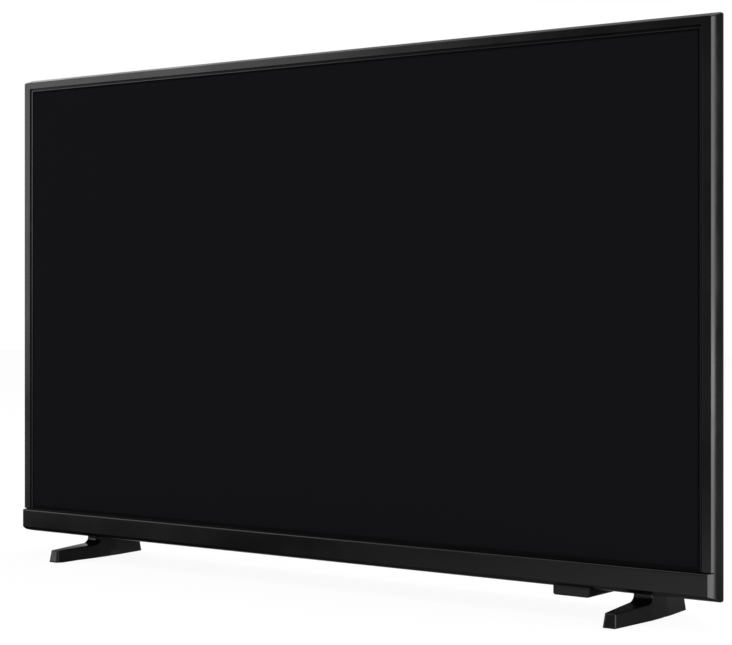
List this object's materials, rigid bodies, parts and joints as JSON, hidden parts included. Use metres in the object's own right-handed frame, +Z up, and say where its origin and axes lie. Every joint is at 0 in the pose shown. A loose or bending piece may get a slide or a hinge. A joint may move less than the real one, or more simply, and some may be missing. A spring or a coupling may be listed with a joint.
{
  "type": "flat television",
  "caption": "Flat television with a thin dark bezel, a lower bar, two low blade feet, a sensor module with a power button and a wall mount pattern on its back.",
  "frame": {"origin": "on the floor, under the middle of the set's bounding box", "axes": "+X across the screen to the viewer's right, +Y from the screen to the back, +Z up"},
  "size_m": [0.729, 0.11, 0.4525],
  "materials": {
    "bezel": "satin, fine grain",
    "bar": "satin, fine grain",
    "screen": "anti-glare film",
    "panel_glass": "polished",
    "film": "film",
    "foam": "foam strip",
    "driver_film": "film",
    "circuit_board": "solder mask",
    "power_board": "bare laminate",
    "ribbon": "flat cable",
    "inner_plastic": "moulded",
    "light_sheet": "frosted film",
    "diffuser": "frosted",
    "white_plastic": "moulded",
    "reflector": "white film",
    "light_strip": "white mask",
    "lens": "clear",
    "steel_sheet": "zinc coated",
    "steel_post": "zinc coated",
    "screw": "zinc coated",
    "black_screw": "blackened",
    "chip": "moulded",
    "heat_sink": "plain",
    "antenna_metal": "plated",
    "socket_metal": "plated",
    "network_plastic": "moulded",
    "terminal_plastic": "moulded",
    "transformer": "taped",
    "capacitor": "sleeved",
    "inlet_plastic": "moulded",
    "pin_metal": "plated",
    "lead_jacket": "sleeved",
    "speaker_metal": "painted",
    "magnet": "ground",
    "cone_paper": "pressed",
    "surround_rubber": "moulded",
    "cover": "fine grain",
    "leg": "satin",
    "pad_rubber": "moulded",
    "module_plastic": "satin",
    "module_window": "polished",
    "button_plastic": "satin"
  },
  "bodies": {
    "cabinet": {"front_bezel": "bezel", "lower_bar": "bar", "front_polarizer": "screen", "colour_filter_glass": "panel_glass", "transistor_glass": "panel_glass", "rear_polarizer": "film", "panel_gasket": "foam", "driver_films": "driver_film", "source_boards": "circuit_board", "panel_ribbon": "ribbon", "mould_frame": "inner_plastic", "prism_sheet": "light_sheet", "diffuser_sheet": "light_sheet", "diffuser_plate": "diffuser", "diffuser_supports": "white_plastic", "reflector_sheet": "reflector", "led_strips": "light_strip", "led_lenses": "lens", "backlight_tray": "steel_sheet", "wall_mount_pillars": "steel_post", "board_standoffs": "steel_post", "board_screws": "screw", "cover_screws": "black_screw", "leg_screws": "screw", "sensor_screws": "screw", "main_board": "circuit_board", "main_board_chips": "chip", "processor_heat_sink": "heat_sink", "power_heat_sink": "heat_sink", "antenna_socket": "antenna_metal", "network_socket": "network_plastic", "video_sockets": "socket_metal", "data_socket": "socket_metal", "optical_socket": "network_plastic", "terminal_plate": "terminal_plastic", "power_board": "power_board", "power_transformer": "transformer", "power_capacitors": "capacitor", "mains_inlet": "inlet_plastic", "inlet_pins": "pin_metal", "board_connectors": "white_plastic", "wiring_leads": "lead_jacket", "speaker_boxes": "inner_plastic", "speaker_frames": "speaker_metal", "speaker_magnets": "magnet", "left_surround": "surround_rubber", "right_surround": "surround_rubber", "rear_cover": "cover", "left_leg": "leg", "right_leg": "leg", "foot_pads": "pad_rubber", "sensor_housing": "module_plastic", "sensor_window": "module_window", "sensor_board": "circuit_board", "infrared_receiver": "chip", "button_switch": "inner_plastic"},
    "button": {"power_button": "button_plastic", "button_plunger": "white_plastic"},
    "cone_left": {"left_cone": "cone_paper"},
    "cone_right": {"right_cone": "cone_paper"}
  },
  "joints": [
    {"name": "power_button_press", "type": "slide", "parent": "cabinet", "child": "button", "axis": [0, 0, 1], "range_m": [0, 0.0003], "stiffness_N_per_m": 2000},
    {"name": "left_cone_travel", "type": "slide", "parent": "cabinet", "child": "cone_left", "axis": [0, 0, 1], "range_m": [-0.0005, 0.0005], "stiffness_N_per_m": 1200, "deforming": ["left_surround"]},
    {"name": "right_cone_travel", "type": "slide", "parent": "cabinet", "child": "cone_right", "axis": [0, 0, 1], "range_m": [-0.0005, 0.0005], "stiffness_N_per_m": 1200, "deforming": ["right_surround"]}
  ]
}
